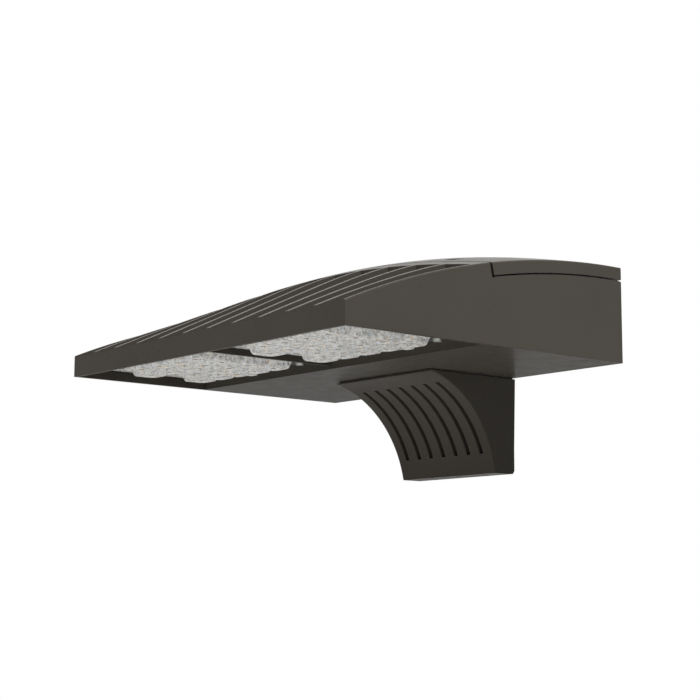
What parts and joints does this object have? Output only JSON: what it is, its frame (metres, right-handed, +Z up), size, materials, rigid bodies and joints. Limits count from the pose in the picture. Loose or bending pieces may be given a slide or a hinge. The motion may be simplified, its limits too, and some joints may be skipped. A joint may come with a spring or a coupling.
{
  "type": "led wall pack",
  "caption": "Wall-mounted outdoor LED luminaire: slim crowned cast housing with open cooling fins, two clear lens arrays underneath, hinged rear access cover and a scooped, grooved wall arm.",
  "frame": {"origin": "middle of the wall plate's rear face, at the centre of the outlet box screws, on the wall plane", "axes": "+Y into the wall, so the light looks out along -Y; +Z up; +X to the right of someone facing the wall"},
  "size_m": [0.35, 0.2832, 0.1726],
  "materials": {
    "castings": "satin dark bronze powder coat on cast aluminium",
    "gaskets": "matte",
    "steel": "satin",
    "green_steel": "satin",
    "zinc_plate": "satin",
    "thermal_pads": "matte",
    "boards": "satin",
    "emitters": "gloss",
    "lenses": "gloss",
    "connectors": "matte",
    "lead_jackets": "satin",
    "driver_case": "satin",
    "surge_case": "matte"
  },
  "bodies": {
    "luminaire": {"arm_bolts": "steel", "arm_gasket": "gaskets", "arm_washers": "steel", "cover_gasket": "gaskets", "driver": "driver_case", "driver_input_lead": "lead_jackets", "driver_screws": "steel", "ground_screw": "green_steel", "hinge_pins": "steel", "housing": "castings", "lead_seals": "gaskets", "led_board_left": "boards", "led_board_right": "boards", "led_connector_left": "connectors", "led_connector_right": "connectors", "led_emitters_left": "emitters", "led_emitters_right": "emitters", "led_lead_left": "lead_jackets", "led_lead_right": "lead_jackets", "lens_array_left": "lenses", "lens_array_right": "lenses", "lens_gasket_left": "gaskets", "lens_gasket_right": "gaskets", "lock_screws": "steel", "module_screws_left": "steel", "module_screws_right": "steel", "plate_foot": "zinc_plate", "plate_hooks": "zinc_plate", "supply_grommet": "gaskets", "surge_protector": "surge_case", "surge_screws": "steel", "terminal_block": "connectors", "terminal_screws": "steel", "thermal_pad_left": "thermal_pads", "thermal_pad_right": "thermal_pads", "wall_arm": "castings", "wall_gasket": "gaskets", "wall_plate": "zinc_plate"},
    "cover": {"access_cover": "castings"},
    "left_cover_screw": {"cover_screw_left": "steel", "screw_clip_left": "steel"},
    "right_cover_screw": {"cover_screw_right": "steel", "screw_clip_right": "steel"}
  },
  "joints": [
    {"name": "cover_hinge", "type": "hinge", "parent": "luminaire", "child": "cover", "pos_m": [0, -0.0087, 0.1273], "axis": [-1, 0, 0], "range_deg": [0, 90]},
    {"name": "left_screw_turn", "type": "hinge", "parent": "cover", "child": "left_cover_screw", "pos_m": [-0.12, -0.1312, 0.11404], "axis": [0, -0.2755, 0.9613], "continuous": true},
    {"name": "right_screw_turn", "type": "hinge", "parent": "cover", "child": "right_cover_screw", "pos_m": [0.12, -0.1312, 0.11404], "axis": [0, -0.2755, 0.9613], "continuous": true}
  ]
}
